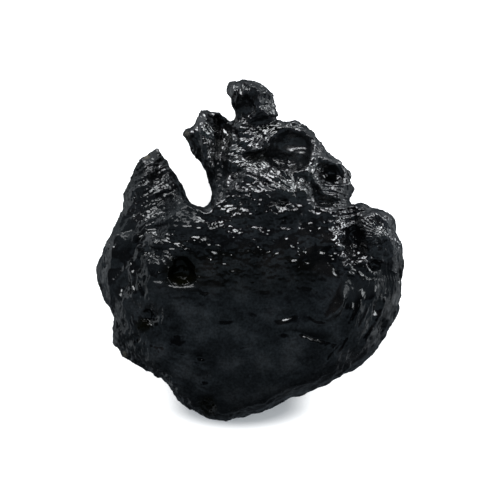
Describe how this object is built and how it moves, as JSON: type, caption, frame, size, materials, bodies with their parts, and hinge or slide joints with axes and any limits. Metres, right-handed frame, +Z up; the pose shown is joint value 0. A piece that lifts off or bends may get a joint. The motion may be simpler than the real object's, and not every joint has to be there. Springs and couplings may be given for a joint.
{
  "type": "tektite",
  "caption": "Lump of black natural glass lying on its back: domed face, pitted and flow-lined, with a ridged and knobbed head and a pointed spire beside a deep notch.",
  "frame": {"origin": "on the floor, under the middle of the stone's box", "axes": "+Z up, out of the sculpted face; +Y along the stone, from its blunt toe to its knob; +X across it, towards the ear-like lobe"},
  "size_m": [0.0542, 0.06, 0.022],
  "materials": {
    "black_glass": "glossy natural glass, opaque black, fire-polished in its hollows and finely pitted on its ridges"
  },
  "bodies": {
    "root": {"tektite": "black_glass"}
  },
  "joints": []
}
